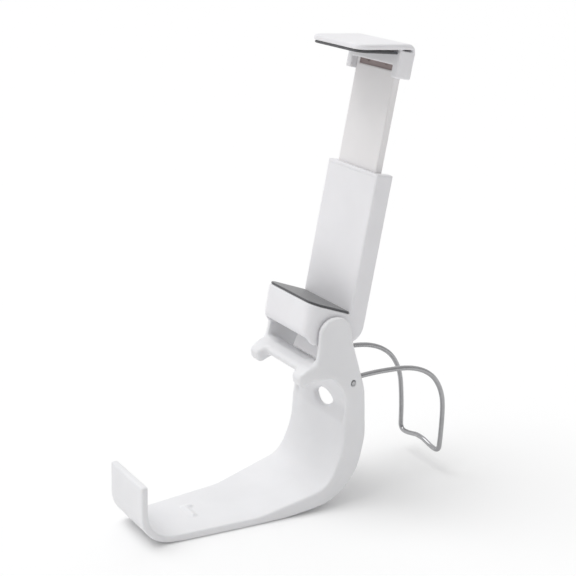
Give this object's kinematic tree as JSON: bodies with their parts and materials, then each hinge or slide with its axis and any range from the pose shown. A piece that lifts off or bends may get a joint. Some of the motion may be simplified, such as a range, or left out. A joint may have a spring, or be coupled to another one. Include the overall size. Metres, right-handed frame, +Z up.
{
  "type": "hinged phone clamp for a game controller",
  "caption": "Phone clamp with a sliding upper jaw, hinged on a J-shaped bracket that hooks round a game controller, with a folding wire loop behind.",
  "frame": {"origin": "middle of the tongue's upper face, where the controller rests", "axes": "+X across the width, -Y to the front where the lip is, +Z up; the tongue lies flat and the clamp leans back 10 degrees at rest"},
  "size_m": [0.0344, 0.1239, 0.1614],
  "materials": {
    "white_shell": "satin",
    "white_clamp": "satin",
    "white_slider": "satin",
    "rubber_pad": "matt",
    "wire_steel": "bright drawn wire",
    "pin_steel": "ground",
    "screw_steel": "zinc plated",
    "spring_steel": "rolled strip"
  },
  "bodies": {
    "bracket": {"bracket_shell": "white_shell"},
    "clamp": {"clamp_body": "white_clamp", "sleeve_back": "white_clamp", "sleeve_screw_upper_left": "screw_steel", "sleeve_screw_upper_right": "screw_steel", "sleeve_screw_lower_left": "screw_steel", "sleeve_screw_lower_right": "screw_steel", "lower_pad": "rubber_pad", "hinge_pin": "pin_steel", "friction_washer_left": "spring_steel", "friction_washer_right": "spring_steel", "slide_spring": "spring_steel", "slide_spring_screw": "screw_steel"},
    "slider": {"slider_arm": "white_slider", "slider_stop": "pin_steel", "upper_jaw": "white_clamp", "upper_pad": "rubber_pad", "jaw_screw_left": "screw_steel", "jaw_screw_right": "screw_steel"},
    "wire": {"wire_loop": "wire_steel"}
  },
  "joints": [
    {"name": "clamp_tilt", "type": "hinge", "parent": "bracket", "child": "clamp", "pos_m": [0, 0.03085, 0.0625], "axis": [1, 0, 0], "range_deg": [-25, 90]},
    {"name": "jaw_slide", "type": "slide", "parent": "clamp", "child": "slider", "axis": [0, 0.1736, 0.9848], "range_m": [-0.031, 0]},
    {"name": "wire_fold", "type": "hinge", "parent": "bracket", "child": "wire", "pos_m": [0, 0.0395, 0.0433], "axis": [1, 0, 0], "range_deg": [-40, 60]}
  ]
}
